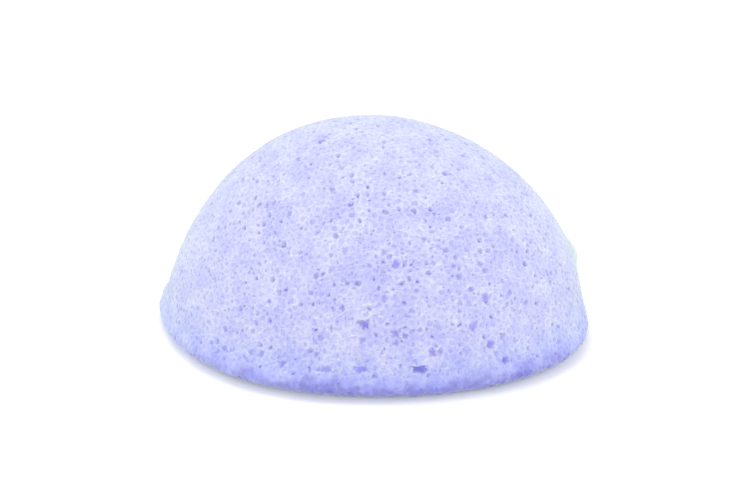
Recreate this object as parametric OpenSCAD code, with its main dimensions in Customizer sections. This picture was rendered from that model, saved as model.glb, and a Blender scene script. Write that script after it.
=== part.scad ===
// Half-ball konjac sponge with a doubled cotton cord through it, knotted on one side and looped on the other

/* [Sponge] */
// Mean radius of the dome at its base, before the lip is added
dome_radius = 39.6; // [37:0.2:42]
// Height of the dome above its flat face
dome_height = 40.4; // [36:0.2:42]
// Fullness of the shoulders: 2 is a half ellipse, more is squarer
dome_power = 1.9; // [1.8:0.1:2.6]
// How far the dome is drawn out along its long way and in across it, as a share of its radius
oval = 0.047; // [0:0.001:0.06]
// Angle of the long way round the dome, from +X toward +Y
oval_angle = -23; // [-45:1:0]
// How far the moulded lip stands out on the -X side
lip_full = 1.2; // [0.5:0.1:3]
// How far the moulded lip stands out on the +X side
lip_slim = 0.8; // [0.5:0.1:3]
// How far the foot waves in and out, four times round
foot_wave = 0.9; // [0:0.1:1.2]
// Angle of the first of the foot's four swells, from +X toward +Y
wave_angle = 59.5; // [0:0.5:90]
// Height of the middle of the lip
lip_z = 2.8; // [2:0.1:3.5]
// Height over which the lip fades, up and down
lip_fade = 2.6; // [2:0.1:4]
// How far the foot is drawn in under the lip
foot_in = 5.6; // [3:0.1:6]
// Height at which the foot starts to draw in
foot_z = 2.4; // [1.6:0.1:3]
// How far the dome leans toward +X at mid height
dome_lean = 1.1; // [0:0.1:2]

/* [Cord] */
// Thickness of the cord
cord_d = 1.8; // [1.6:0.1:1.9]
// Gap between the two strands where they run side by side
strand_gap = 0.2; // [0.15:0.05:0.3]
// Height of the channel above the flat face
channel_z = 7.2; // [7:0.1:7.6]
// Angle of the knot's mouth round the dome, from +X toward +Y
knot_angle = 15.5; // [14.5:0.5:17]
// Angle of the loop's mouth round the dome, from +X toward +Y
loop_angle = 120; // [116:1:124]
// Clearance of the strands in the channel, all round
channel_clearance = 0.3; // [0.25:0.05:0.5]
// How far the cord can be drawn through toward the knot
draw_travel = 4; // [2:0.5:4]

/* [Knot] */
// Radius of the ring that the knot's lobes go round
knot_ring = 3.1; // [3:0.1:3.2]
// How far the lobes swing in and out of that ring
knot_swing = 1.4; // [1.3:0.1:1.4]
// How far the lobes swing up and down
knot_rise = 2.4; // [2.3:0.1:2.7]
// How far the knot's middle stands outside the channel's mouth, or inside it where below 0
knot_out = -1.2; // [-1.4:0.1:-0.6]
// How far the knot's middle lies off the channel's axis, to the front and up
knot_offset = 3.7; // [3.6:0.1:3.9]
// How far the knot is turned about the channel, from standing upright: below 0 its back goes down
knot_roll = -45; // [-50:1:-42]

/* [Hidden] */

sponge_colour = [0.80, 0.82, 0.98];
cord_colour = [0.92, 0.95, 0.95];

// The dome is a form of rings, closed at its top by one point and cut flat at its foot
dome_sides = 48;
foot_rings = 5;
side_rings = 18;
flat_cut = 0.3;
foot_depth = foot_z + flat_cut;

// The cord: strands side by side, tubes of eight sides
cord_sides = 8;
strand_shift = (cord_d + strand_gap)/2;
channel_r = strand_shift + cord_d/2 + channel_clearance;
knot_steps = 40;
// The knot's lobes run between these angles of their formula
knot_start = 30;
knot_end = 330;
// From the mouth of the loop to the line on which the loop swings
pivot_out = draw_travel + 2.4;
// The loop starts this far past that line, clear of the strands' round ends
loop_start = cord_d/2 + 0.3;
ball_steps = 3;
// The round ends stop half a step short of a point
ball_turns = ball_steps + 0.5;
// A tube's first normal leans outward by this much, so that it never lies along the tube
normal_tip = 0.01;
seat_clearance = 0.4;
// How much further apart the cut ends stand at each step past the knot
tail_splay = 0.35;
// The strands' last straight stretch before the line on which the loop swings
last_straight = 1.5;
// The channel's bore runs this far past the dome at each end
bore_margin = 10;
seat_reach = 30;
seat_sides = 48;
bore_sides = 32;

// Places along the cord, from the knot's middle, as [outward along the channel, to the knot's back, to its top]
tail_route = [[-1.8, 9.5, 5], [-0.2, 8.4, 3.8], [1.2, 6.7, 2.7], [2.2, 4.9, 2.3], [2.7, 3, 2.3]];
lead_route = [[-2.9, 2.7, -2], [-3.6, 3.4, -1.1], [-4.3, 3.7, -0.3], [-5.2, 3.7, 0]];
// Twist of the two strands along the channel, in steps from how the knot holds them to side by side
twist_steps = 12;
twist_margin = 3;
// Where the knot's lead ends and the channel's strands start, inward from the knot's mouth
channel_start = 8;

// The hanging loop, from the line on which it swings, as [away from the sponge, to the back, height]
loop_route = [
    [loop_start, -strand_shift, channel_z], [5, -strand_shift, 6.9], [8.5, -0.9, 5.6], [11.5, 0, 3.7],
    [14, 2, 2], [16.5, 5.5, 1.2], [18.5, 10, 1], [19.5, 15.5, 1], [20, 21.5, 1], [19.5, 27.5, 1],
    [18.5, 33.5, 1], [16.5, 39, 1], [13.5, 43.5, 1], [9, 46, 1], [4.6, 44.8, 1], [2.6, 40.5, 1],
    [3, 34.5, 1], [4.5, 28.5, 1], [6.2, 22.5, 1], [7.8, 16.8, 1], [9, 11.8, 1.1], [9.6, 8, 1.8],
    [9.3, 5.2, 3.2], [8, 3, 4.9], [6.2, 1.6, 6.3], [4, strand_shift, 7], [loop_start, strand_shift, channel_z]
];

function unit(v) = v/norm(v);

// Radius of the dome at height z and angle a round it
function side_radius(z) = dome_radius*sqrt(1 - pow(max(z, 0)/dome_height, dome_power));
function foot_inset(z) = z < foot_z ? foot_in*(1 - sqrt(1 - pow((foot_z - z)/foot_depth, 2))) : 0;
function lip(a) = (lip_full + lip_slim)/2 - (lip_full - lip_slim)/2*cos(a) + foot_wave*cos(4*(a - wave_angle));
function dome_r(z, a) = side_radius(z)*(1 + oval*cos(2*(a - oval_angle))) - foot_inset(z)
    + lip(a)*exp(-pow((z - lip_z)/lip_fade, 2));
function leaning_point(z, a) = [dome_r(z, a)*cos(a) + dome_lean*sin(180*z/dome_height), dome_r(z, a)*sin(a), z];

// The dome's middle is put on the origin, by its widest points
ring_heights = concat(
    [for (i = [0:foot_rings]) foot_z - foot_depth*cos(90*i/foot_rings)],
    [for (i = [1:side_rings]) foot_z + (dome_height - foot_z)*sin(90*i/(side_rings + 1))]
);
form_points = [for (z = ring_heights, k = [0:dome_sides - 1]) leaning_point(z, 360*k/dome_sides)];
function middle(axis) = (max([for (p = form_points) p[axis]]) + min([for (p = form_points) p[axis]]))/2;
form_middle = [middle(0), middle(1), 0];
function dome_point(z, a) = leaning_point(z, a) - form_middle;

// The channel's frame: outward at the knot, to the back and up
knot_mouth = dome_point(channel_z, knot_angle);
loop_mouth = dome_point(channel_z, loop_angle);
channel_length = norm(knot_mouth - loop_mouth);
outward = unit(knot_mouth - loop_mouth);
backward = [-outward[1], outward[0], 0];
upward = [0, 0, 1];
knot_back = backward*cos(knot_roll) + upward*sin(knot_roll);
knot_top = upward*cos(knot_roll) - backward*sin(knot_roll);
knot_middle = knot_mouth + knot_out*outward - knot_offset*knot_back;
pivot = loop_mouth - pivot_out*outward;
function from_knot(p) = knot_middle + p[0]*outward + p[1]*knot_back + p[2]*knot_top;
function along_channel(s) = knot_mouth - s*outward;
function from_pivot(p) = [pivot[0], pivot[1], 0] - p[0]*outward + p[1]*backward + p[2]*upward;

// The knot is a three-lobed overhand knot that the doubled cord follows
function lobe(t) = [
    (knot_ring + knot_swing*cos(3*t))*sin(2*t),
    (knot_ring + knot_swing*cos(3*t))*cos(2*t),
    knot_rise*sin(3*t)
];
knot_route = [for (i = [0:knot_steps]) lobe(knot_start + (knot_end - knot_start)*i/knot_steps)];
guide = concat(
    [for (p = concat(tail_route, knot_route, lead_route)) from_knot(p)],
    [along_channel(channel_start - 1), along_channel(channel_start)],
    [for (i = [1:twist_steps]) along_channel(channel_start + twist_margin
        + (channel_length - channel_start - 2*twist_margin)*i/twist_steps)],
    [along_channel(channel_length + pivot_out - last_straight), pivot]
);
first_knot = len(tail_route);
last_knot = first_knot + len(knot_route) + len(lead_route) + 1;

// Tangents, and the direction in which the two strands stand apart, along the guide
function tangents(p) = [for (i = [0:len(p) - 1]) unit(p[min(i + 1, len(p) - 1)] - p[max(i - 1, 0)])];
guide_tangents = tangents(guide);
function square_to(v, t) = unit(v - (v*t)*t);
function twist(i) = (-90 - knot_roll)*max(0, min(1, (i - last_knot - 1)/twist_steps));
function apart(i) = let (up = square_to(knot_top, guide_tangents[i]))
    up*cos(twist(i)) + cross(up, guide_tangents[i])*sin(twist(i));
function splay(i) = 1 + tail_splay*max(0, first_knot - 1 - i);
function strand(side) = [for (i = [0:len(guide) - 1]) guide[i] + side*strand_shift*splay(i)*apart(i)];
strands = [strand(-1), strand(1)];
function carried(t, n, i) = i == len(t) ? [] : let (m = square_to(n, t[i])) concat([m], carried(t, m, i + 1));
function part_of(list, first, last) = [for (i = [first:last]) list[i]];

// Rings of a tube, closed by a cap at each end
module tube(points, ends, radii) {
    normals = carried(ends, upward + normal_tip*outward, 0);
    ring_points = [for (i = [0:len(points) - 1], k = [0:cord_sides - 1])
        points[i] + radii[i]*(normals[i]*cos(360*k/cord_sides) + cross(ends[i], normals[i])*sin(360*k/cord_sides))];
    last = len(points) - 1;
    walls = [for (i = [0:last - 1], k = [0:cord_sides - 1], half = [0, 1])
        let (a = i*cord_sides + k, b = i*cord_sides + (k + 1)%cord_sides)
        half == 0 ? [a, a + cord_sides, b + cord_sides] : [a, b + cord_sides, b]];
    first_cap = [for (k = [1:cord_sides - 2]) [0, k, k + 1]];
    last_cap = [for (k = [1:cord_sides - 2]) [last*cord_sides, last*cord_sides + k + 1, last*cord_sides + k]];
    polyhedron(ring_points, concat(walls, first_cap, last_cap));
}

module strand_stretch(side, first, last) {
    line = strands[side];
    directions = tangents(line);
    points = part_of(line, first, last);
    tube(points, part_of(directions, first, last), [for (p = points) cord_d/2]);
}

module dome_form() {
    rings = [for (p = form_points) p - form_middle];
    count = len(rings);
    foot_middle = [0, 0, -flat_cut] - form_middle;
    top = [0, 0, dome_height] - form_middle;
    walls = [for (i = [0:len(ring_heights) - 2], k = [0:dome_sides - 1], half = [0, 1])
        let (a = i*dome_sides + k, b = i*dome_sides + (k + 1)%dome_sides)
        half == 0 ? [a, a + dome_sides, b + dome_sides] : [a, b + dome_sides, b]];
    foot_fan = [for (k = [0:dome_sides - 1]) [count, k, (k + 1)%dome_sides]];
    top_ring = count - dome_sides;
    top_fan = [for (k = [0:dome_sides - 1]) [count + 1, top_ring + (k + 1)%dome_sides, top_ring + k]];
    polyhedron(concat(rings, [foot_middle, top]), concat(walls, foot_fan, top_fan));
}

// Turns a shape made along +Z to lie along the channel, pointing outward at the knot
module along_outward(place) {
    translate(place) rotate([0, 90, atan2(outward[1], outward[0])]) children();
}

// Moulded sponge, with the channel that the cord runs in and the seat that the knot is drawn into
module sponge_body() {
    knot_points = [for (line = strands, i = [first_knot:first_knot + knot_steps]) line[i] - knot_middle];
    seat_r = max([for (p = knot_points) norm([p*backward, p*upward])]) + cord_d/2 + seat_clearance;
    seat_depth = max([for (p = knot_points) -p*outward]) + cord_d/2 + seat_clearance;
    block = 4*dome_radius;
    color(sponge_colour) difference() {
        dome_form();
        translate([-block/2, -block/2, -block]) cube(block);
        along_outward(along_channel(channel_length + bore_margin))
            cylinder(h = channel_length + 2*bore_margin, r = channel_r, $fn = bore_sides);
        along_outward(knot_middle - seat_depth*outward) cylinder(h = seat_reach, r = seat_r, $fn = seat_sides);
    }
}

// Overhand knot of the doubled cord, down to where it enters the channel
module stopper_knot() {
    color(cord_colour) for (side = [0, 1]) strand_stretch(side, first_knot, last_knot);
}

// Cut ends of the cord past the knot
module cord_tails() {
    color(cord_colour) for (side = [0, 1]) strand_stretch(side, 0, first_knot);
}

// The two strands in the channel, with round ends on the line on which the loop swings
module channel_strands() {
    color(cord_colour) for (side = [0, 1]) {
        line = strands[side];
        last = len(line) - 1;
        directions = tangents(line);
        ball = [for (i = [1:ball_steps]) line[last] - cord_d/2*sin(90*i/ball_turns)*outward];
        ball_radii = [for (i = [1:ball_steps]) cord_d/2*cos(90*i/ball_turns)];
        points = concat(part_of(line, last_knot, last), ball);
        ends = concat(part_of(directions, last_knot, last - 1), [for (i = [0:ball_steps]) -outward]);
        radii = concat([for (i = [last_knot:last]) cord_d/2], ball_radii);
        tube(points, ends, radii);
    }
}

// Closed end of the doubled cord, lying behind the sponge
module hanging_loop() {
    line = [for (p = loop_route) from_pivot(p)];
    ends = tangents(line);
    level_start = concat([-outward], part_of(ends, 1, len(ends) - 2), [outward]);
    color(cord_colour) tube(line, level_start, [for (p = line) cord_d/2]);
}

sponge_body();
stopper_knot();
cord_tails();
channel_strands();
hanging_loop();
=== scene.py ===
"""Looks of the half-ball konjac sponge: an open-celled foam dome on a doubled cotton cord."""
import math
import random

import bmesh
import bpy
import numpy as np
from mathutils import Matrix, Vector, noise
from mathutils.bvhtree import BVHTree
from mathutils.kdtree import KDTree


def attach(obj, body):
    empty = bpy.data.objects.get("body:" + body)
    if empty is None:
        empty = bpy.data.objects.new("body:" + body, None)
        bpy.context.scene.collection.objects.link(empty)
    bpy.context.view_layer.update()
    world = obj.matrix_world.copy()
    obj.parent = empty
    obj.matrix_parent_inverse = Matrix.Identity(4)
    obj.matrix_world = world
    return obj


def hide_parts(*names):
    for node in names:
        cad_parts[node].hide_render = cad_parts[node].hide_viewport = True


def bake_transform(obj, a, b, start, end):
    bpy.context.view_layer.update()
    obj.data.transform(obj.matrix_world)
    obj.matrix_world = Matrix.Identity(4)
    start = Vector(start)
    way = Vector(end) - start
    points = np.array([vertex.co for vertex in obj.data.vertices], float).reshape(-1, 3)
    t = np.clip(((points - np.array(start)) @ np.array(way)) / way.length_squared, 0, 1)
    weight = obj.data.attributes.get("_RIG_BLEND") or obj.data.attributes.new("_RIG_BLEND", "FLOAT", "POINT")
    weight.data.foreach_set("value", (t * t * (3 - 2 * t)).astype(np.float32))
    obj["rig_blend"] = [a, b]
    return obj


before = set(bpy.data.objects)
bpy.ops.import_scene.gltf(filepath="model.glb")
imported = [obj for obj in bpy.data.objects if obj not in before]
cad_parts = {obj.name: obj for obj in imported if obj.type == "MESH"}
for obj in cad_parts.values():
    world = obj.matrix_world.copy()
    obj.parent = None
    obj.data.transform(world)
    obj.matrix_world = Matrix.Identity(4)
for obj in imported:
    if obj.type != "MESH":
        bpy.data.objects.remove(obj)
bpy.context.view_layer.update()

# Lengths are in millimetres until a finished mesh is scaled to metres
METRES = 0.001

# The dome's form, as in the CAD source
DOME_RADIUS = 39.6
DOME_HEIGHT = 40.4
DOME_POWER = 1.9
OVAL = 0.047
OVAL_ANGLE = -23.0
LIP_FULL = 1.2
LIP_SLIM = 0.8
FOOT_WAVE = 0.9
WAVE_ANGLE = 59.5
LIP_Z = 2.8
LIP_FADE = 2.6
FOOT_IN = 5.6
FOOT_Z = 2.4
FOOT_DEPTH = 2.7
DOME_LEAN = 1.1
DOME_SIDES = 48
FOOT_RINGS = 5
SIDE_RINGS = 18

# The cord and its channel, as in the CAD source
STRAND_SHIFT = 1.0
CHANNEL_Z = 7.2
KNOT_ANGLE = 15.5
LOOP_ANGLE = 120.0
CHANNEL_R = 2.2
PIVOT_OUT = 6.4
LOOP_START = 1.2
KNOT_RING = 3.1
KNOT_SWING = 1.4
KNOT_RISE = 2.4
KNOT_OUT = -1.2
KNOT_OFFSET = 3.7
KNOT_ROLL = math.radians(-45)
KNOT_STEPS = 40
KNOT_START = 30
KNOT_END = 330
CHANNEL_START = 8.0
TWIST_MARGIN = 3.0
TWIST_STEPS = 12
TAIL_SPLAY = 0.35
LAST_STRAIGHT = 1.5
TAIL_ROUTE = [(-1.8, 9.5, 5), (-0.2, 8.4, 3.8), (1.2, 6.7, 2.7), (2.2, 4.9, 2.3), (2.7, 3, 2.3)]
LEAD_ROUTE = [(-2.9, 2.7, -2), (-3.6, 3.4, -1.1), (-4.3, 3.7, -0.3), (-5.2, 3.7, 0)]
LOOP_ROUTE = [
    (LOOP_START, -STRAND_SHIFT, CHANNEL_Z), (5, -STRAND_SHIFT, 6.9), (8.5, -0.9, 5.6), (11.5, 0, 3.7),
    (14, 2, 2), (16.5, 5.5, 1.2), (18.5, 10, 1), (19.5, 15.5, 1), (20, 21.5, 1), (19.5, 27.5, 1),
    (18.5, 33.5, 1), (16.5, 39, 1), (13.5, 43.5, 1), (9, 46, 1), (4.6, 44.8, 1), (2.6, 40.5, 1),
    (3, 34.5, 1), (4.5, 28.5, 1), (6.2, 22.5, 1), (7.8, 16.8, 1), (9, 11.8, 1.1), (9.6, 8, 1.8),
    (9.3, 5.2, 3.2), (8, 3, 4.9), (6.2, 1.6, 6.3), (4, STRAND_SHIFT, 7),
    (LOOP_START, STRAND_SHIFT, CHANNEL_Z),
]

# The yarn: its plies, how they are laid, and the loose fibres of its cut ends
PLY_COUNT = 3
PLY_PITCH = 4.6
PLY_OFFSET = 0.38
PLY_R = 0.6
PLY_SIDES = 10
# Where the painted shade in the groove between two plies gives way
GROOVE_FLOOR = 0.55
CORD_STEP = 0.28
CURVE_STEPS = 8
FRAY_FIBRES = 26
FRAY_LENGTH = (0.7, 1.9)
FRAY_R = 0.07
FRAY_STEPS = 4
FRAY_SIDES = 4
FRAY_REACH = 0.85
FRAY_ROOT = 0.3
FRAY_LEAN = (0.05, 0.6)
FRAY_WANDER = 0.15
FRAY_CURL = 0.35
FRAY_TAPER = 0.6
# The loop bends on a stretch round the line on which it swings, short enough to stay outside its mouth
# when the cord is drawn right through
BEND_BEFORE = 2.2
BEND_PAST = 2.0

# The photograph's camera, in the sponge's frame: place in millimetres and tilt from straight down
CAMERA_PLACE = (-0.41, -309.0, 126.5)
CAMERA_TILT = 70.29
CAMERA_LENS = 83.04
CAMERA_FILM = 36
CAMERA_NEAR = 0.01
FRAME_WIDTH = 737
FRAME_HEIGHT = 488

# The stage: the floor's half width, and how far it is lifted where the camera sees it
FLOOR_REACH = 6000
FLOOR_LIFT = 0.26
WORLD_STRENGTH = 0.745
LAMP_TARGET = (0, 0, 15)
# Wide soft lamps: name, place, width and watts
LAMPS = [
    ("overhead", (-40, 80, 420), 240, 0.46),
    ("left_side", (-420, 60, 200), 260, 0.34),
    ("right_side", (420, 60, 200), 260, 0.34),
    ("front", (40, -430, 160), 300, 0.47),
]

# Foam: spacing of the skin's mesh, and the sizes of its cells
FOOT_HEIGHTS = [0.0, 0.3, 0.7, 1.1, 1.5, 1.9]
PROFILE_STEPS = 48
FIRST_PROFILE_STEP = 2
FLOOR_STEPS = 12
SPIN_STEPS = 160
MERGE_DISTANCE = 0.001
CUTTER_SIDES = 32
CUTTER_MARGIN = 16
SKIN_STEP = 0.36
FOAM_HEART = Vector((0, 0, 9))
SEAT_ACROSS = 6.15
SEAT_TALL = 5.6
SEAT_DEEP = 6.3
SEAT_REACH = 40.0
SEAT_BLUNTNESS = 0.45
SEAT_SIDES = 48
SEAT_RINGS = 24
# Where each mouth's rim is softened: from inside its wall to outside it, and how many times
SEAT_RIM = (-0.8, 2.6, 24)
LOOP_RIM = (-0.4, 1.6, 8)
RIM_REACH = 2
FLAT_FACE = 0.3
OUTER_FACING = 0.3
CELL_SEED = 7
CELL_TRIES = 260000
CELL_RADIUS = 0.29
CELL_SPREAD = 0.4
CELL_LEAST = 0.16
CELL_MOST = 0.64
CELL_FIT = 0.8
CELL_WALL = 0.08
CELL_REACH = 0.5
CELL_GRID = 1.2
FAR_OFF = 9.0
CELL_WARP = 0.3
CELL_DEPTH_LEAST = 0.15
CELL_DEPTH_MORE = 0.6
CELL_DEPTH_RARITY = 8
SMALL_CELL = 0.24
SMALL_CELL_DEPTH = 0.8
PINHOLE_SHARE = 0.1
# How strongly a cell floor's depth darkens its colour: the foam's violet with painted shade in the hollow
TONE_PER_DEPTH = 0.3
SPARE_PITS = 150
SPARE_PIT_RADIUS = (0.45, 0.9)
# Depth as a share of the pit's radius
SPARE_PIT_DEPTH = (0.7, 1.1)
SPARE_PITS_BEHIND = -8
SPARE_PITS_ABOVE = 1
LIP_TOP = 5.2
SKIN_DRAWN_IN = 0.14

# Noise in the skin: the size of its lumps in millimetres, and the shift that sets it apart from the rest
WIDE_LUMPS = (11.0, 0.0)
NARROW_LUMPS = (4.0, 0.0)
LIP_EDGE_NOISE = (2.5, 5.0)
# These two make the painted shade at the foot uneven
PAINTED_SHADE_NOISE = (3.0, 23.0)
FINE_PAINTED_SHADE_NOISE = (0.9, 37.0)
WARP_SIZE = 0.6
WARP_SHIFTS = (0.0, 17.0, 43.0)
BREAK_NOISE = (0.8, 59.0)
FLOOR_NOISE = (0.35, 71.0)
THREAD_NOISE = (0.45, 31.0)
SPECK_NOISE = (0.33, 83.0)
GRAIN_NOISE = (0.4, 7.0)
LIP_GRAIN_NOISE = (1.5, 47.0)
PIT_NOISE = (0.8, 3.0)
FINE_PIT_NOISE = (0.35, 9.0)

# The lumps of the whole form, and how high above the flat face they reach their full height
LUMP_HEIGHT = 0.12
LUMPS_FROM = 2.5
# The lip's smoother skin: where it gives way to the cells, how unevenly, and how much it calms them
LIP_EDGE_WANDER = 0.5
LIP_EDGE_BELOW = 1.6
LIP_EDGE_HEIGHT = 1.8
LIP_CALM = 0.45
LIP_GRAIN_HEIGHT = 0.16
LIP_RISE = 0.05
# How unevenly the painted shade at the foot rises, coarse and fine
PAINTED_SHADE_WANDER = 1.7
FINE_PAINTED_SHADE_WANDER = 0.9
# A cell's pale rim, partly painted highlight: its place and width in the cell's radii, and how far it is
# broken
RIM_PLACE = 1.08
RIM_WIDTH = 0.18
RIM_SHARE = 0.62
RIM_BREAK = 1.7
RIM_LEAST = 0.7
RIM_HEIGHT = 0.1
# Cell floors, the foam's violet darkened with depth by painted shade, pale threads between cells, dark
# specks, grain, and pinholes painted dark as shade
BOWL_DEPTH = 1.2
FLOOR_CHANGE = 0.9
THREAD_SHARPNESS = 4.5
THREAD_LOSS_IN_CELL = 0.6
THREAD_HEIGHT = 0.09
THREAD_PALENESS = 0.4
SPECK_SHARPNESS = 6
SPECKS_FROM = 0.34
SPECK_TONE = 0.62
GRAIN_HEIGHT = 0.045
PINHOLE_RADIUS = 0.42
PINHOLE_DEPTH = 0.35
# Pinholes are painted dark as the shade inside them
PINHOLE_PAINTED_SHADE = 0.95
# A wide pit's ragged wall, its floor, painted darker with depth as shade over the foam's violet, and its pale
# edge, like the cell rims partly painted highlight
PIT_REACH = 1.7
PIT_WANDER = 0.35
FINE_PIT_WANDER = 0.5
PIT_SKIN_LEFT = 0.4
PIT_WALL = 0.7
PIT_TONE_LEAST = 0.1
PIT_TONE_MORE = 0.4
PIT_TONE_SHALLOW = 0.45
PIT_TONE_PER_DEPTH = 1.2
PIT_TONE_MOST = 0.9
PIT_EDGE_PLACE = 1.12
PIT_EDGE_WIDTH = 0.14
PIT_EDGE_PALENESS = 0.8

# How strongly painted shade darkens the foot, at heights in millimetres
PAINTED_SHADE_HEIGHTS = (1.2, 2.4, 3.6, 5.0, 6.5, 10.0)
PAINTED_SHADE_LEVELS = (1.0, 0.86, 0.66, 0.48, 0.24, 0.0)
# How much of that painted shade shows, from the -X side round to the +X side
PAINTED_SHADE_SIDES = (-1.0, -0.75, -0.3, 0.1, 0.5, 1.0)
PAINTED_SHADE_SHARES = (0.7, 0.97, 1.1, 1.0, 1.12, 1.02)

# Wide open pits, as read off the photograph: place in its frame, radius and depth in millimetres
PHOTO_PITS = [
    (396, 265, 0.8, 0.9), (486, 298, 1.0, 0.9), (473, 327, 0.9, 0.8), (396, 334, 0.8, 0.9),
    (364, 324, 0.9, 1.4), (433, 353, 0.8, 1.2), (347, 283, 0.5, 0.8), (334, 285, 0.4, 0.8),
    (384, 252, 0.7, 0.6), (424, 240, 0.6, 0.6), (432, 231, 0.6, 0.6), (449, 219, 0.7, 0.7),
    (416, 190, 0.6, 0.6), (345, 250, 0.7, 0.5), (331, 269, 0.7, 0.5), (279, 292, 0.6, 0.6),
    (290, 301, 0.6, 0.5), (311, 293, 0.6, 0.5), (384, 298, 0.7, 0.6), (491, 345, 0.9, 1.2),
    (506, 360, 0.8, 1.2), (510, 293, 0.6, 0.6), (362, 340, 0.7, 0.6), (316, 354, 0.6, 0.7),
    (261, 354, 0.7, 0.7), (224, 348, 0.7, 0.7), (281, 364, 0.8, 0.8), (480, 264, 0.6, 0.6),
]
# The pits are mostly violet foam, their colour darkened further by painted shade, and only this share of that
# depth is open
PHOTO_PIT_SHARE = 0.5
# Wider slots torn along the top of the lip: place in the frame, half length, half height and depth
PHOTO_SLOTS = [(420, 370, 1.5, 0.7, 1.8), (360, 369, 1.7, 0.7, 0.8), (325, 369, 1.6, 0.7, 0.9)]


def smooth_fall(q):
    """1 at q 0, 0 from q 1 on, smoothly."""
    q = np.clip(q, 0, 1)
    return 1 - q * q * (3 - 2 * q)


def dome_r(z, a):
    """Radius of the dome at height z and angle a, in radians, round it."""
    side = DOME_RADIUS * math.sqrt(max(0.0, 1 - (max(z, 0) / DOME_HEIGHT) ** DOME_POWER))
    side *= 1 + OVAL * math.cos(2 * (a - math.radians(OVAL_ANGLE)))
    foot = FOOT_IN * (1 - math.sqrt(max(0.0, 1 - ((FOOT_Z - z) / FOOT_DEPTH) ** 2))) if z < FOOT_Z else 0
    lip = (LIP_FULL + LIP_SLIM) / 2 - (LIP_FULL - LIP_SLIM) / 2 * math.cos(a)
    lip += FOOT_WAVE * math.cos(4 * (a - math.radians(WAVE_ANGLE)))
    return side - foot + lip * math.exp(-(((z - LIP_Z) / LIP_FADE) ** 2))


def leaning_point(z, a):
    r = dome_r(z, a)
    return Vector((r * math.cos(a) + DOME_LEAN * math.sin(math.pi * z / DOME_HEIGHT), r * math.sin(a), z))


RING_HEIGHTS = [FOOT_Z - FOOT_DEPTH * math.cos(math.pi / 2 * i / FOOT_RINGS) for i in range(FOOT_RINGS + 1)]
RING_HEIGHTS += [FOOT_Z + (DOME_HEIGHT - FOOT_Z) * math.sin(math.pi / 2 * i / (SIDE_RINGS + 1))
                 for i in range(1, SIDE_RINGS + 1)]
FORM_POINTS = [leaning_point(z, 2 * math.pi * k / DOME_SIDES)
               for z in RING_HEIGHTS for k in range(DOME_SIDES)]
FORM_MIDDLE = Vector([(max(p[axis] for p in FORM_POINTS) + min(p[axis] for p in FORM_POINTS)) / 2
                      for axis in (0, 1)] + [0])


def dome_point(z, a):
    """A point of the dome's skin, with the dome's middle on the origin."""
    return leaning_point(z, a) - FORM_MIDDLE


# The channel's frame: outward at the knot, to the back and up
KNOT_MOUTH = dome_point(CHANNEL_Z, math.radians(KNOT_ANGLE))
LOOP_MOUTH = dome_point(CHANNEL_Z, math.radians(LOOP_ANGLE))
CHANNEL_LENGTH = (KNOT_MOUTH - LOOP_MOUTH).length
OUTWARD = (KNOT_MOUTH - LOOP_MOUTH).normalized()
BACKWARD = Vector((-OUTWARD.y, OUTWARD.x, 0))
UPWARD = Vector((0, 0, 1))
KNOT_BACK = BACKWARD * math.cos(KNOT_ROLL) + UPWARD * math.sin(KNOT_ROLL)
KNOT_TOP = UPWARD * math.cos(KNOT_ROLL) - BACKWARD * math.sin(KNOT_ROLL)
KNOT_MIDDLE = KNOT_MOUTH + KNOT_OUT * OUTWARD - KNOT_OFFSET * KNOT_BACK
PIVOT = LOOP_MOUTH - PIVOT_OUT * OUTWARD


def from_knot(p):
    return KNOT_MIDDLE + p[0] * OUTWARD + p[1] * KNOT_BACK + p[2] * KNOT_TOP


def from_pivot(p):
    return Vector((PIVOT.x, PIVOT.y, 0)) - p[0] * OUTWARD + p[1] * BACKWARD + p[2] * UPWARD


def along_channel(s):
    return KNOT_MOUTH - s * OUTWARD


def new_object(name, mesh):
    """A piece in the scene, with its mesh in millimetres brought to metres."""
    mesh.transform([[METRES if i == j else 0 for j in range(4)] for i in range(3)] + [[0, 0, 0, 1]])
    mesh.name = name
    piece = bpy.data.objects.new(name, mesh)
    bpy.context.scene.collection.objects.link(piece)
    return piece


# Materials

# The foam's colours: cell floors from shallow to deep, the foam's violet with painted shade deepening with
# depth, cell rims, pale partly with painted highlight, mottling, and the painted shade at the foot
CELL_FLOOR_VIOLET_AND_SHADE_COLOURS = [
    (0.0, (0.638, 0.648, 0.94)), (0.3, (0.555, 0.535, 0.93)),
    (0.6, (0.42, 0.365, 0.89)), (1.0, (0.25, 0.23, 0.48)),
]
# Cell rims: the thin walls' paleness, partly painted highlight
CELL_RIM_PALE_AND_HIGHLIGHT_COLOUR = (0.77, 0.794, 0.97)
MOTTLE_COLOURS = [(0.38, (0.83, 0.83, 0.985)), (0.6, (1, 1, 1))]
# Painted shade at the foot, from none to its darkest
FOOT_PAINTED_SHADE_COLOURS = [
    (0.0, (1, 1, 1)), (0.42, (0.86, 0.91, 1)), (0.65, (0.75, 0.78, 0.98)), (1.0, (0.47, 0.45, 0.75)),
]
# The cotton's colours over its length, and the painted shade from the groove between two plies outward
YARN_COLOURS = [(0.3, (0.76, 0.87, 0.81)), (0.55, (0.85, 0.955, 0.905)), (0.75, (0.90, 0.975, 0.94))]
PLY_GROOVE_SHADE_COLOURS = [(0.0, (0.72, 0.78, 0.75)), (0.45, (1, 1, 1))]
# Noise in the materials: turns per millimetre, detail and roughness
MOTTLE_NOISE = (0.24, 4.0, 0.6)
FOAM_GRAIN = (3.6, 4.0, 0.6)
YARN_TINT_NOISE = (0.9, 4.0, 0.65)
YARN_GRAIN = (4.5, 4.0, 0.7)
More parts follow.
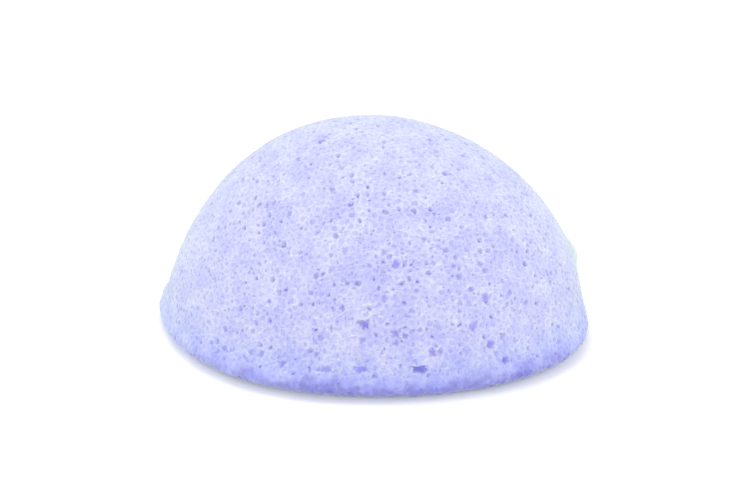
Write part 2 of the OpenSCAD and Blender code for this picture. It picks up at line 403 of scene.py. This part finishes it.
# Strength of the grain's bump and its depth in millimetres
FOAM_BUMP = (0.4, 0.1)
YARN_BUMP = (0.5, 0.12)
FLOOR_COLOUR = (0.84, 0.85, 0.85, 1)
FLOOR_GLOW = (0.97, 1.0, 0.98, 1)
# The Mix node's sockets for its two colours
FIRST_COLOUR = 6
SECOND_COLOUR = 7

def principled(name, **sockets):
    """A material with one Principled shader, its constants set on the shader's own sockets."""
    material = bpy.data.materials.new(name)
    material.use_nodes = True
    shader = material.node_tree.nodes["Principled BSDF"]
    for socket, value in sockets.items():
        shader.inputs[socket.replace("_", " ")].default_value = value
    return material, material.node_tree, shader


def ramp(tree, source, stops):
    """A colour ramp on a value, from (place, colour) stops."""
    node = tree.nodes.new("ShaderNodeValToRGB")
    elements = node.color_ramp.elements
    while len(elements) < len(stops):
        elements.new(0.5)
    for element, (place, colour) in zip(elements, stops):
        element.position = place
        element.color = (*colour, 1)
    tree.links.new(source, node.inputs["Fac"])
    return node.outputs["Color"]


def attribute(tree, name):
    node = tree.nodes.new("ShaderNodeAttribute")
    node.attribute_name = name
    return node.outputs["Fac"]


def object_noise(tree, scale, detail, rough):
    """Noise on the piece's own coordinates, with scale in turns per millimetre."""
    place = tree.nodes.new("ShaderNodeTexCoord")
    node = tree.nodes.new("ShaderNodeTexNoise")
    node.inputs["Scale"].default_value = scale / METRES
    node.inputs["Detail"].default_value = detail
    node.inputs["Roughness"].default_value = rough
    tree.links.new(place.outputs["Object"], node.inputs["Vector"])
    return node.outputs["Fac"]


def mixed(tree, factor, first, second, mode="MIX"):
    """Two colours mixed by a factor, each a socket or a colour."""
    node = tree.nodes.new("ShaderNodeMix")
    node.data_type = "RGBA"
    node.blend_type = mode
    for socket, value in ((0, factor), (FIRST_COLOUR, first), (SECOND_COLOUR, second)):
        if isinstance(value, bpy.types.NodeSocket):
            tree.links.new(value, node.inputs[socket])
        elif isinstance(value, tuple):
            node.inputs[socket].default_value = (*value, 1)
        else:
            node.inputs[socket].default_value = value
    return node.outputs[2]


def bumped(tree, shader, height, strength, distance):
    node = tree.nodes.new("ShaderNodeBump")
    node.inputs["Strength"].default_value = strength
    node.inputs["Distance"].default_value = distance * METRES
    tree.links.new(height, node.inputs["Height"])
    tree.links.new(node.outputs["Normal"], shader.inputs["Normal"])


def foam_material():
    """Lilac konjac foam: pale cell rims, partly painted highlight, violet cell floors with painted shade in
    their hollows, faint mottling, painted shade at the foot, and light that soaks in.
    """
    material, tree, shader = principled(
        "konjac_foam", Roughness=0.62, Subsurface_Weight=0.45, Subsurface_Scale=0.0009,
        Subsurface_Radius=(0.9, 0.8, 1.6), Specular_IOR_Level=0.3, Sheen_Weight=1.0, Sheen_Roughness=0.45,
        Sheen_Tint=(0.86, 1.0, 0.97, 1),
    )
    # Cell floors, pits and pinholes: the foam's violet, with painted shade darker with depth
    depth = ramp(tree, attribute(tree, "violet_and_painted_shade"), CELL_FLOOR_VIOLET_AND_SHADE_COLOURS)
    # Pale cell rims and threads; the rims' paleness is partly painted highlight
    rims = mixed(tree, attribute(tree, "rim_paleness_and_highlight"), depth, CELL_RIM_PALE_AND_HIGHLIGHT_COLOUR)
    mottle = ramp(tree, object_noise(tree, *MOTTLE_NOISE), MOTTLE_COLOURS)
    body = mixed(tree, 1.0, rims, mottle, "MULTIPLY")
    # Painted shade at the foot, multiplied over the foam's colour
    shade = ramp(tree, attribute(tree, "foot_painted_shade"), FOOT_PAINTED_SHADE_COLOURS)
    lip = mixed(tree, 1.0, body, shade, "MULTIPLY")
    tree.links.new(lip, shader.inputs["Base Color"])
    bumped(tree, shader, object_noise(tree, *FOAM_GRAIN), *FOAM_BUMP)
    return material


def cotton_material():
    """Mint-white cotton yarn: soft uneven fibres, painted shade in the grooves between the plies, and a soft
    sheen.
    """
    material, tree, shader = principled(
        "cotton_yarn", Roughness=0.85, Subsurface_Weight=0.2, Subsurface_Scale=0.0006,
        Subsurface_Radius=(1.0, 1.0, 1.0), Specular_IOR_Level=0.2, Sheen_Weight=0.35, Sheen_Roughness=0.5,
    )
    tint = ramp(tree, object_noise(tree, *YARN_TINT_NOISE), YARN_COLOURS)
    # Painted shade in the grooves between the plies
    groove = ramp(tree, attribute(tree, "ply_groove_shade"), PLY_GROOVE_SHADE_COLOURS)
    tree.links.new(mixed(tree, 1.0, tint, groove, "MULTIPLY"), shader.inputs["Base Color"])
    bumped(tree, shader, object_noise(tree, *YARN_GRAIN), *YARN_BUMP)
    return material


def floor_material():
    """Plain pale floor with a soft shadow, lifted to white where the camera sees it lit."""
    material, tree, shader = principled("pale_floor", Roughness=0.9, Specular_IOR_Level=0.1)
    shader.inputs["Base Color"].default_value = FLOOR_COLOUR
    shader.inputs["Emission Color"].default_value = FLOOR_GLOW
    path = tree.nodes.new("ShaderNodeLightPath")
    lift = tree.nodes.new("ShaderNodeMath")
    lift.operation = "MULTIPLY"
    lift.inputs[1].default_value = FLOOR_LIFT
    tree.links.new(path.outputs["Is Camera Ray"], lift.inputs[0])
    tree.links.new(lift.outputs["Value"], shader.inputs["Emission Strength"])
    return material


# The cord

def catmull_rom(points, steps):
    """A smooth line through the points, with steps stretches between each two."""
    padded_points = [2 * points[0] - points[1], *points, 2 * points[-1] - points[-2]]
    line = []
    for p0, p1, p2, p3 in zip(padded_points, padded_points[1:], padded_points[2:], padded_points[3:]):
        for k in range(steps):
            t = k / steps
            line.append(0.5 * (2 * p1 + (p2 - p0) * t + (2 * p0 - 5 * p1 + 4 * p2 - p3) * t * t
                               + (3 * p1 - p0 - 3 * p2 + p3) * t ** 3))
    line.append(points[-1].copy())
    return line


def even_line(line, step):
    """The same line with its points an even step apart."""
    lengths = np.cumsum([0.0] + [(b - a).length for a, b in zip(line, line[1:])])
    count = max(2, round(lengths[-1] / step))
    places = np.linspace(0, lengths[-1], count + 1)
    columns = [np.interp(places, lengths, [p[k] for p in line]) for k in range(3)]
    return [Vector(p) for p in zip(*columns)]


def tangents(line):
    last = len(line) - 1
    return [(line[min(i + 1, last)] - line[max(i - 1, 0)]).normalized() for i in range(last + 1)]


def square_to(v, t):
    return (v - v.dot(t) * t).normalized()


def lobe(t):
    """A point of the three-lobed overhand knot."""
    reach = KNOT_RING + KNOT_SWING * math.cos(3 * t)
    return (reach * math.sin(2 * t), reach * math.cos(2 * t), KNOT_RISE * math.sin(3 * t))


def strand_lines():
    """The two strands, from their cut ends to the line on which the loop swings."""
    knot_angles = [math.radians(KNOT_START + (KNOT_END - KNOT_START) * i / KNOT_STEPS)
                   for i in range(KNOT_STEPS + 1)]
    twist_run = CHANNEL_LENGTH - CHANNEL_START - 2 * TWIST_MARGIN
    guide = [from_knot(p) for p in [*TAIL_ROUTE, *map(lobe, knot_angles), *LEAD_ROUTE]]
    guide += [along_channel(CHANNEL_START - 1), along_channel(CHANNEL_START)]
    first_twist = len(guide) - 1
    guide += [along_channel(CHANNEL_START + TWIST_MARGIN + twist_run * i / TWIST_STEPS)
              for i in range(1, TWIST_STEPS + 1)]
    guide += [along_channel(CHANNEL_LENGTH + PIVOT_OUT - LAST_STRAIGHT), PIVOT]
    lines = ([], [])
    for i, (point, along) in enumerate(zip(guide, tangents(guide))):
        up = square_to(KNOT_TOP, along)
        turn = (-math.pi / 2 - KNOT_ROLL) * max(0, min(1, (i - first_twist) / TWIST_STEPS))
        apart = up * math.cos(turn) + up.cross(along) * math.sin(turn)
        spread = 1 + TAIL_SPLAY * max(0, len(TAIL_ROUTE) - 1 - i)
        for line, side in zip(lines, (-1, 1)):
            line.append(point + side * STRAND_SHIFT * spread * apart)
    return lines


def carried_normals(along, first):
    """Normals carried along a line without twist."""
    normals = [square_to(first, along[0])]
    for t in along[1:]:
        normals.append(square_to(normals[-1], t))
    return normals


def skin_rings(bm, rings):
    """Joins rings of points into a tube and closes its ends."""
    for ring, following in zip(rings, rings[1:]):
        for k in range(len(ring)):
            after = (k + 1) % len(ring)
            bm.faces.new((ring[k], ring[after], following[after], following[k])).smooth = True
    bm.faces.new(reversed(rings[0]))
    bm.faces.new(rings[-1])


class TwistedCord:
    """One unbroken line of twisted yarn, from which stretches are cut as separate meshes."""

    def __init__(self, line):
        self.line = line
        self.along = tangents(line)
        self.normals = carried_normals(self.along, UPWARD)
        self.lengths = np.cumsum([0.0] + [(b - a).length for a, b in zip(line, line[1:])])

    def ply_ring(self, bm, layer, i, ply):
        """The ring of one ply at the line's point i."""
        n = self.normals[i]
        b = self.along[i].cross(n)
        turn = 2 * math.pi * (self.lengths[i] / PLY_PITCH + ply / PLY_COUNT)
        middle = self.line[i] + PLY_OFFSET * (n * math.cos(turn) + b * math.sin(turn))
        ring = []
        for k in range(PLY_SIDES):
            a = 2 * math.pi * k / PLY_SIDES
            vert = bm.verts.new(middle + PLY_R * (n * math.cos(a) + b * math.sin(a)))
            # How far out of the groove between plies a point sits, for the painted shade there
            outness = (vert.co - self.line[i]).length / (PLY_OFFSET + PLY_R)
            vert[layer] = max(0.0, min(1.0, (outness - GROOVE_FLOOR) / (1 - GROOVE_FLOOR)))
            ring.append(vert)
        return ring

    def stretch(self, bm, first, last):
        """Adds the yarn from point first to point last to a bmesh."""
        layer = bm.verts.layers.float["ply_groove_shade"]
        for ply in range(PLY_COUNT):
            rings = [self.ply_ring(bm, layer, i, ply) for i in range(first, last + 1)]
            skin_rings(bm, rings)

    def frayed(self, bm, i, ahead, rng):
        """Adds the loose fibres of a cut end at the line's point i, where ahead is 1 or -1 along the line."""
        layer = bm.verts.layers.float["ply_groove_shade"]
        n = self.normals[i]
        b = self.along[i].cross(n)
        for fibre in range(FRAY_FIBRES):
            turn = rng.uniform(0, 2 * math.pi)
            out = FRAY_REACH * math.sqrt(rng.random())
            side = n * math.cos(turn) + b * math.sin(turn)
            place = self.line[i] + out * side - FRAY_ROOT * ahead * self.along[i]
            lean = side * rng.uniform(*FRAY_LEAN) * out
            wander = Vector([rng.uniform(-FRAY_WANDER, FRAY_WANDER) for _ in range(3)])
            way = (ahead * self.along[i] + lean + wander).normalized()
            length = rng.uniform(*FRAY_LENGTH)
            rings = []
            for k in range(FRAY_STEPS + 1):
                share = k / FRAY_STEPS
                spot = place + way * length * share + side * FRAY_CURL * share * share
                thick = FRAY_R * (1 - FRAY_TAPER * share)
                across = square_to(UPWARD, way)
                beside = way.cross(across)
                ring = []
                for corner in range(FRAY_SIDES):
                    a = 2 * math.pi / FRAY_SIDES * corner
                    vert = bm.verts.new(spot + thick * (across * math.cos(a) + beside * math.sin(a)))
                    vert[layer] = 1
                    ring.append(vert)
                rings.append(ring)
            skin_rings(bm, rings)


def cord_piece(name, parts, material, body, *nodes, frays=()):
    """A piece of yarn from (cord, first, last) stretches, in place of its CAD nodes."""
    bm = bmesh.new()
    bm.verts.layers.float.new("ply_groove_shade")
    for cord, first, last in parts:
        cord.stretch(bm, first, last)
    rng = random.Random(CELL_SEED)
    for cord, i, ahead in frays:
        cord.frayed(bm, i, ahead, rng)
    mesh = bpy.data.meshes.new(name)
    bm.to_mesh(mesh)
    bm.free()
    piece = new_object(name, mesh)
    piece.data.materials.append(material)
    if body:
        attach(piece, body)
    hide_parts(*nodes)
    return piece


def nearest_index(line, point):
    return min(range(len(line)), key=lambda i: (line[i] - point).length_squared)


def make_cord():
    """The whole cord as one line of yarn, cut into its tails, knot, channel strands and hanging loop."""
    cotton = cotton_material()
    front, back = strand_lines()
    loop = [from_pivot(p) for p in LOOP_ROUTE]
    route = front + loop + back[::-1]
    line = even_line(catmull_rom(route, CURVE_STEPS), CORD_STEP)
    cord = TwistedCord(line)
    half = len(line) // 2
    last = len(line) - 1

    def place(point, second_half):
        if second_half:
            return half + nearest_index(line[half:], point)
        return nearest_index(line[:half], point)

    tail_end = len(TAIL_ROUTE)
    knot_end = tail_end + KNOT_STEPS + len(LEAD_ROUTE) + 1
    cuts = [(place(strand[tail_end], side), place(strand[knot_end], side))
            for side, strand in enumerate((front, back))]
    mouths = [place(LOOP_MOUTH + side * STRAND_SHIFT * BACKWARD, side == 1) for side in (-1, 1)]
    (tail_a, knot_a), (tail_b, knot_b) = cuts
    cord_piece("cord_ends", [(cord, 0, tail_a), (cord, tail_b, last)], cotton, "cord", "cord_tails",
               frays=((cord, 0, -1), (cord, last, 1)))
    cord_piece("knot_yarn", [(cord, tail_a, knot_a), (cord, knot_b, tail_b)], cotton, "cord", "stopper_knot")
    cord_piece("channel_yarn", [(cord, knot_a, mouths[0]), (cord, mouths[1], knot_b)], cotton, "cord",
               "channel_strands")
    hanging = cord_piece("loop_yarn", [(cord, mouths[0], mouths[1])], cotton, None, "hanging_loop")
    start = (PIVOT + BEND_BEFORE * OUTWARD) * METRES
    end = (PIVOT - BEND_PAST * OUTWARD) * METRES
    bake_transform(hanging, "cord", "loop", start, end)


# The sponge

def dome_form():
    """The plain dome: its profile spun round, then swelled and leaned as the CAD form is."""
    bm = bmesh.new()
    heights = FOOT_HEIGHTS + [DOME_HEIGHT * math.sin(math.pi / 2 * i / PROFILE_STEPS)
                              for i in range(FIRST_PROFILE_STEP, PROFILE_STEPS)]
    quarter = math.pi / 2
    profile = [bm.verts.new((0, 0, 0))]
    profile += [bm.verts.new((0, dome_r(0, quarter) * k / FLOOR_STEPS, 0))
                for k in range(1, FLOOR_STEPS)]
    profile += [bm.verts.new((0, dome_r(z, quarter), z)) for z in heights]
    profile.append(bm.verts.new((0, 0, DOME_HEIGHT)))
    edges = [bm.edges.new(pair) for pair in zip(profile, profile[1:])]
    bmesh.ops.spin(bm, geom=profile + edges, cent=(0, 0, 0), axis=(0, 0, 1), angle=2 * math.pi,
                   steps=SPIN_STEPS, use_merge=True)
    bmesh.ops.remove_doubles(bm, verts=bm.verts, dist=MERGE_DISTANCE)
    bmesh.ops.recalc_face_normals(bm, faces=bm.faces)
    for vert in bm.verts:
        a = math.atan2(vert.co.y, vert.co.x)
        share = math.hypot(vert.co.x, vert.co.y) / max(dome_r(vert.co.z, quarter), 1e-6)
        share = min(share, 1.0)
        z = vert.co.z
        lean = DOME_LEAN * math.sin(math.pi * z / DOME_HEIGHT)
        vert.co.x = share * dome_r(z, a) * math.cos(a) + lean - FORM_MIDDLE.x
        vert.co.y = share * dome_r(z, a) * math.sin(a) - FORM_MIDDLE.y
    return bm


def temporary(name, bm):
    mesh = bpy.data.meshes.new(name)
    bm.to_mesh(mesh)
    bm.free()
    piece = bpy.data.objects.new(name, mesh)
    bpy.context.scene.collection.objects.link(piece)
    return piece


def along_outward(bm, verts, place):
    """Turns what was made along +Z to lie along the channel, pointing outward at the knot."""
    bmesh.ops.transform(bm, matrix=OUTWARD.to_track_quat("Z", "Y").to_matrix().to_4x4(), verts=verts)
    bmesh.ops.translate(bm, vec=place, verts=verts)


def channel_cutter():
    bm = bmesh.new()
    made = bmesh.ops.create_cone(
        bm, cap_ends=True, segments=CUTTER_SIDES, radius1=CHANNEL_R, radius2=CHANNEL_R,
        depth=CHANNEL_LENGTH + CUTTER_MARGIN,
    )["verts"]
    along_outward(bm, made, (KNOT_MOUTH + LOOP_MOUTH) / 2)
    return temporary("channel_cutter", bm)


def seat_cutter():
    """The cup that the knot has pressed into the foam: wider than high, with a blunt bottom."""
    bm = bmesh.new()
    made = bmesh.ops.create_uvsphere(bm, u_segments=SEAT_SIDES, v_segments=SEAT_RINGS, radius=1)["verts"]
    for vert in made:
        around = vert.co.xy.length
        if around > 0:
            vert.co.xy = vert.co.xy / around * around ** SEAT_BLUNTNESS
        vert.co.x *= SEAT_ACROSS
        vert.co.y *= SEAT_TALL
        vert.co.z *= SEAT_DEEP if vert.co.z < 0 else SEAT_REACH
    turn = Matrix((KNOT_BACK, KNOT_TOP, OUTWARD)).transposed().to_4x4()
    bmesh.ops.transform(bm, matrix=turn, verts=made)
    bmesh.ops.translate(bm, vec=KNOT_MIDDLE, verts=made)
    bmesh.ops.recalc_face_normals(bm, faces=bm.faces)
    return temporary("seat_cutter", bm)


def soften_rim(bm, middle, least, most, turns):
    """Rounds the foam over at a mouth: smooths the skin between two distances from the mouth's axis."""
    ring = []
    for vert in bm.verts:
        off = vert.co - middle
        outside = off.dot(OUTWARD)
        from_axis = math.sqrt(max(off.length_squared - outside * outside, 0))
        if least < from_axis < most and abs(outside) < most + RIM_REACH:
            ring.append(vert)
    for _ in range(turns):
        bmesh.ops.smooth_vert(bm, verts=ring, factor=0.5, use_axis_x=True, use_axis_y=True, use_axis_z=True)


def skin_mesh():
    """The dome with its channel and the knot's seat cut out, remeshed evenly, and twice as fine outside."""
    body = temporary("foam_form", dome_form())
    cutters = [channel_cutter(), seat_cutter()]
    for cutter in cutters:
        cut = body.modifiers.new("cut", "BOOLEAN")
        cut.operation = "DIFFERENCE"
        cut.solver = "EXACT"
        cut.object = cutter
    remesh = body.modifiers.new("even", "REMESH")
    remesh.mode = "VOXEL"
    remesh.voxel_size = SKIN_STEP
    mesh = bpy.data.meshes.new_from_object(body.evaluated_get(bpy.context.evaluated_depsgraph_get()))
    for piece in (body, *cutters):
        bpy.data.objects.remove(piece)
    skin = bmesh.new()
    skin.from_mesh(mesh)
    inner, outer_reach, turns = SEAT_RIM
    soften_rim(skin, KNOT_MIDDLE, SEAT_TALL + inner, SEAT_ACROSS + outer_reach, turns)
    inner, outer_reach, turns = LOOP_RIM
    soften_rim(skin, LOOP_MOUTH, CHANNEL_R + inner, CHANNEL_R + outer_reach, turns)
    skin.normal_update()
    outer = {vert for vert in skin.verts
             if vert.co.z > FLAT_FACE and vert.normal.dot((vert.co - FOAM_HEART).normalized()) > OUTER_FACING}
    edges = [edge for edge in skin.edges if edge.verts[0] in outer and edge.verts[1] in outer]
    bmesh.ops.subdivide_edges(skin, edges=edges, cuts=1, use_grid_fill=True)
    skin.to_mesh(mesh)
    skin.free()
    return mesh


def noise_at(points, size, shift=0.0):
    """Smooth noise at many points, with lumps of about a size in millimetres."""
    return np.array([noise.noise(p) for p in (points / size + shift).tolist()])


def packed_cells(points, rng):
    """Middles and radii of foam cells that fill the skin without lying in each other, the widest first."""
    everyone = KDTree(len(points))
    for v, p in enumerate(points.tolist()):
        everyone.insert(p, v)
    everyone.balance()
    order = rng.integers(0, len(points), CELL_TRIES).tolist()
    radii = CELL_RADIUS * np.exp(CELL_SPREAD * rng.standard_normal(CELL_TRIES))
    radii = np.sort(np.clip(radii, CELL_LEAST, CELL_MOST))[::-1].tolist()
    clear = [CELL_MOST] * len(points)
    kept = []
    for v, r in zip(order, radii):
        if clear[v] < CELL_FIT * r:
            continue
        r = min(r, clear[v])
        middle = points[v]
        kept.append((*middle, r))
        for q, u, distance in everyone.find_range(middle, r + CELL_WALL + CELL_REACH):
            clear[u] = min(clear[u], distance - r - CELL_WALL)
    return np.array(kept)


def nearest_cells(points, cells):
    """For each point, how far it is from its nearest cell, in that cell's radii, and which cell that is."""
    low = cells[:, :3].min(0) - 2 * CELL_GRID
    keys = np.floor((cells[:, :3] - low) / CELL_GRID).astype(int)
    shape = keys.max(0) + 3
    flat = np.ravel_multi_index(keys.T, shape)
    order = np.argsort(flat, kind="stable")
    flat = flat[order]
    slots = np.arange(len(flat)) - np.searchsorted(flat, flat)
    table = np.full((int(np.prod(shape)), slots.max() + 1), -1)
    table[flat, slots] = order
    count = len(points)
    nearest = np.full(count, FAR_OFF)
    owner = np.zeros(count, int)
    home = np.clip(np.floor((points - low) / CELL_GRID).astype(int), 1, shape - 2)
    for step in np.ndindex(3, 3, 3):
        there = table[np.ravel_multi_index((home + np.array(step) - 1).T, shape)]
        for column in there.T:
            found = np.flatnonzero(column >= 0)
            cell = cells[column[found]]
            away = np.linalg.norm(points[found] - cell[:, :3], axis=1) / cell[:, 3]
            closer = away < nearest[found]
            owner[found] = np.where(closer, column[found], owner[found])
            nearest[found] = np.minimum(nearest[found], away)
    return nearest, owner


def camera_ray(x, y):
    """Where the camera's ray through a place of the photograph's frame starts, and its direction."""
    tilt = math.radians(CAMERA_TILT)
    focal = CAMERA_LENS / CAMERA_FILM * FRAME_WIDTH
    ahead = Vector((0, math.sin(tilt), -math.cos(tilt)))
    up = Vector((0, math.cos(tilt), math.sin(tilt)))
    ray = ahead * focal + Vector((1, 0, 0)) * (x - FRAME_WIDTH / 2) + up * (FRAME_HEIGHT / 2 - y)
    return Vector(CAMERA_PLACE), ray.normalized()


def open_pits(cells, rng):
    """Wide pits: those that the photograph shows, and others like them over the rest of the dome."""
    form = dome_form()
    surface = BVHTree.FromBMesh(form)
    form.free()
    seen = [(x, y, r, r, d) for x, y, r, d in PHOTO_PITS] + PHOTO_SLOTS
    pits = []
    for x, y, half_length, half_height, d in seen:
        hit = surface.ray_cast(*camera_ray(x, y))[0]
        if hit:
            pits.append((np.array(hit), half_length, half_height, PHOTO_PIT_SHARE * d))
    for cell in cells[rng.choice(len(cells), SPARE_PITS, replace=False)]:
        r = float(rng.uniform(*SPARE_PIT_RADIUS))
        d = r * float(rng.uniform(*SPARE_PIT_DEPTH))
        if cell[1] > SPARE_PITS_BEHIND and cell[2] > SPARE_PITS_ABOVE:
            pits.append((cell[:3], r, r, d))
    return pits


def vertex_array(mesh, what="co"):
    values = np.empty(len(mesh.vertices) * 3, np.float32)
    mesh.vertices.foreach_get(what, values)
    return values.reshape(-1, 3).astype(float)


def lip_values(points):
    """How far each point belongs to the smooth lip, and how strongly painted shade darkens it towards the
    floor.
    """
    edge = points[:, 2] + LIP_EDGE_WANDER * noise_at(points, *LIP_EDGE_NOISE) - LIP_TOP + LIP_EDGE_BELOW
    wander = PAINTED_SHADE_WANDER * noise_at(points, *PAINTED_SHADE_NOISE)
    wander += FINE_PAINTED_SHADE_WANDER * noise_at(points, *FINE_PAINTED_SHADE_NOISE)
    side = points[:, 0] / np.maximum(np.hypot(points[:, 0], points[:, 1]), 1)
    # Painted shade at the foot: darker towards the floor, and stronger on some sides than on others
    tint = np.interp(points[:, 2] + wander, PAINTED_SHADE_HEIGHTS, PAINTED_SHADE_LEVELS)
    return smooth_fall(edge / LIP_EDGE_HEIGHT), tint * np.interp(side, PAINTED_SHADE_SIDES, PAINTED_SHADE_SHARES)


def cell_relief(points, cells, on_lip, rng):
    """Height, violet tone with painted shade in the hollows, and paleness, partly painted highlight, that the
    cells, threads, specks and pinholes give each point.
    """
    calm = 1 - LIP_CALM * on_lip
    depths = CELL_DEPTH_LEAST + CELL_DEPTH_MORE * rng.random(len(cells)) ** CELL_DEPTH_RARITY
    depths += SMALL_CELL_DEPTH * rng.random(len(cells)) ** 2 * (cells[:, 3] < SMALL_CELL)
    pinholes = rng.random(len(cells)) < PINHOLE_SHARE
    warp = np.stack([noise_at(points, WARP_SIZE, shift) for shift in WARP_SHIFTS], axis=1)
    nearest, owner = nearest_cells(points + CELL_WARP * warp, cells)

    bowl = np.clip(1 - nearest ** 3, 0, 1)
    whole = np.clip(RIM_SHARE + RIM_BREAK * noise_at(points, *BREAK_NOISE), 0, 1)
    rim = np.exp(-(((nearest - RIM_PLACE) / RIM_WIDTH) ** 2)) * whole
    rim *= np.clip(RIM_LEAST + depths[owner], 0, 1)
    floor_tone = bowl * depths[owner] * (1 + FLOOR_CHANGE * noise_at(points, *FLOOR_NOISE))
    threads = np.clip(1 - THREAD_SHARPNESS * np.abs(noise_at(points, *THREAD_NOISE)), 0, 1)
    threads *= 1 - THREAD_LOSS_IN_CELL * bowl
    specks = np.clip(SPECK_SHARPNESS * (noise_at(points, *SPECK_NOISE) - SPECKS_FROM), 0, 1)
    pin = pinholes[owner] * np.clip(1 - (nearest / PINHOLE_RADIUS) ** 2, 0, 1)

    height = calm * (RIM_HEIGHT * rim + THREAD_HEIGHT * threads - floor_tone * cells[owner, 3] * BOWL_DEPTH)
    height += GRAIN_HEIGHT * noise_at(points, *GRAIN_NOISE)
    height += on_lip * (LIP_GRAIN_HEIGHT * noise_at(points, *LIP_GRAIN_NOISE) + LIP_RISE)
    height -= PINHOLE_DEPTH * pin
    # The foam's violet in the cell floors, darker with depth as painted shade
    tone = calm * np.clip(floor_tone * TONE_PER_DEPTH, 0, 1)
    # Pinholes painted dark as the shade inside them
    tone = np.maximum(tone, PINHOLE_PAINTED_SHADE * pin)
    tone = np.maximum(tone, calm * SPECK_TONE * specks)
    # Paleness of rims and threads; the rims' paleness is partly painted highlight
    pale = calm * np.clip(rim + THREAD_PALENESS * threads, 0, 1)
    return height, tone, pale


def dig_pit(points, pit, height, tone, pale):
    """Works one wide pit into the heights, tones and paleness of the points near it: the tone is the foam's
    violet with painted shade, darker as the pit deepens.
    """
    middle, half_length, half_height, depth = pit
    offset = points - middle
    close = np.flatnonzero((offset ** 2).sum(1) < (PIT_REACH * half_length) ** 2)
    offset = offset[close]
    across = np.array((-middle[1], middle[0], 0)) / math.hypot(middle[0], middle[1])
    sideways = offset @ across
    upright = np.sqrt(np.maximum((offset ** 2).sum(1) - sideways ** 2, 0))
    share = np.hypot(sideways / half_length, upright / half_height)
    share *= (1 + PIT_WANDER * noise_at(points[close], *PIT_NOISE)
              + FINE_PIT_WANDER * noise_at(points[close], *FINE_PIT_NOISE))
    inside = np.clip(1 - share ** 3, 0, 1)
    dug = np.minimum(height[close], PIT_SKIN_LEFT * height[close] - depth * inside ** PIT_WALL)
    height[close] = np.where(inside > 0, dug, height[close])
    # The pit's floor: the foam's violet with painted shade, darker as the pit deepens
    dark = PIT_TONE_LEAST * (inside > 0) + PIT_TONE_MORE * inside
    dark *= PIT_TONE_SHALLOW + PIT_TONE_PER_DEPTH * depth
    tone[close] = np.maximum(tone[close], np.clip(dark, 0, PIT_TONE_MOST))
    # The pit's pale edge, partly painted highlight like the cell rims
    edge = PIT_EDGE_PALENESS * np.exp(-(((share - PIT_EDGE_PLACE) / PIT_EDGE_WIDTH) ** 2))
    pale[close] = np.maximum(pale[close] * (1 - inside), edge)


def make_sponge():
    """The foam dome, with lumps, cells and pits worked into its skin along its normals."""
    mesh = skin_mesh()
    points = vertex_array(mesh)
    normals = vertex_array(mesh, "normal")
    rng = np.random.default_rng(CELL_SEED)

    off_foot = 1 - smooth_fall(points[:, 2] / LUMPS_FROM)
    lumps = LUMP_HEIGHT * noise_at(points, *WIDE_LUMPS) + LUMP_HEIGHT * noise_at(points, *NARROW_LUMPS)
    points += normals * ((lumps - SKIN_DRAWN_IN) * off_foot)[:, None]

    # The second value is the painted shade at the foot
    on_lip, foot_painted_shade = lip_values(points)
    cells = packed_cells(points, rng)
    height, tone, pale = cell_relief(points, cells, on_lip, rng)
    for pit in open_pits(cells, rng):
        dig_pit(points, pit, height, tone, pale)

    height = np.where(points[:, 2] < FLAT_FACE, np.minimum(height, 0), height)
    points += normals * height[:, None]
    points[:, 2] = np.maximum(points[:, 2], 0)
    mesh.vertices.foreach_set("co", points.astype(np.float32).ravel())
    for name, values in (("violet_and_painted_shade", tone), ("rim_paleness_and_highlight", pale), ("foot_painted_shade", foot_painted_shade)):
        layer = mesh.attributes.new(name, "FLOAT", "POINT")
        layer.data.foreach_set("value", values.astype(np.float32))
    mesh.polygons.foreach_set("use_smooth", [True] * len(mesh.polygons))
    mesh.update()
    sponge = new_object("foam_dome", mesh)
    sponge.data.materials.clear()
    sponge.data.materials.append(foam_material())
    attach(sponge, "sponge")
    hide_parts("sponge_body")


# Floor, light and camera

def make_floor():
    bm = bmesh.new()
    bmesh.ops.create_grid(bm, x_segments=1, y_segments=1, size=FLOOR_REACH)
    mesh = bpy.data.meshes.new("floor")
    bm.to_mesh(mesh)
    bm.free()
    floor = new_object("floor", mesh)
    floor.data.materials.append(floor_material())


def area_light(name, place, width, watts):
    """A soft square lamp, aimed at the sponge, with its place in millimetres."""
    lamp = bpy.data.lights.new(name, "AREA")
    lamp.shape = "SQUARE"
    lamp.size = width * METRES
    lamp.energy = watts
    holder = bpy.data.objects.new(name, lamp)
    holder.location = Vector(place) * METRES
    holder.rotation_euler = (Vector(LAMP_TARGET) - Vector(place)).to_track_quat("-Z", "Y").to_euler()
    bpy.context.scene.collection.objects.link(holder)


def make_light():
    """White surroundings, and wide soft lamps overhead, on both sides and in front."""
    world = bpy.data.worlds.new("studio")
    world.use_nodes = True
    tree = world.node_tree
    background = tree.nodes["Background"]
    path = tree.nodes.new("ShaderNodeLightPath")
    strength = tree.nodes.new("ShaderNodeMix")
    strength.inputs["A"].default_value = WORLD_STRENGTH
    strength.inputs["B"].default_value = 1.0
    tree.links.new(path.outputs["Is Camera Ray"], strength.inputs["Factor"])
    tree.links.new(strength.outputs["Result"], background.inputs["Strength"])
    background.inputs["Color"].default_value = (1, 1, 1, 1)
    bpy.context.scene.world = world
    for lamp in LAMPS:
        area_light(*lamp)


def make_camera():
    lens = bpy.data.cameras.new("photo_camera")
    lens.lens = CAMERA_LENS
    lens.sensor_width = CAMERA_FILM
    lens.clip_start = CAMERA_NEAR
    camera = bpy.data.objects.new("photo_camera", lens)
    camera.location = Vector(CAMERA_PLACE) * METRES
    camera.rotation_euler = (math.radians(CAMERA_TILT), 0, 0)
    bpy.context.scene.collection.objects.link(camera)
    bpy.context.scene.camera = camera


bpy.context.scene.view_settings.view_transform = "Standard"
make_camera()
make_cord()
make_floor()
make_light()
make_sponge()
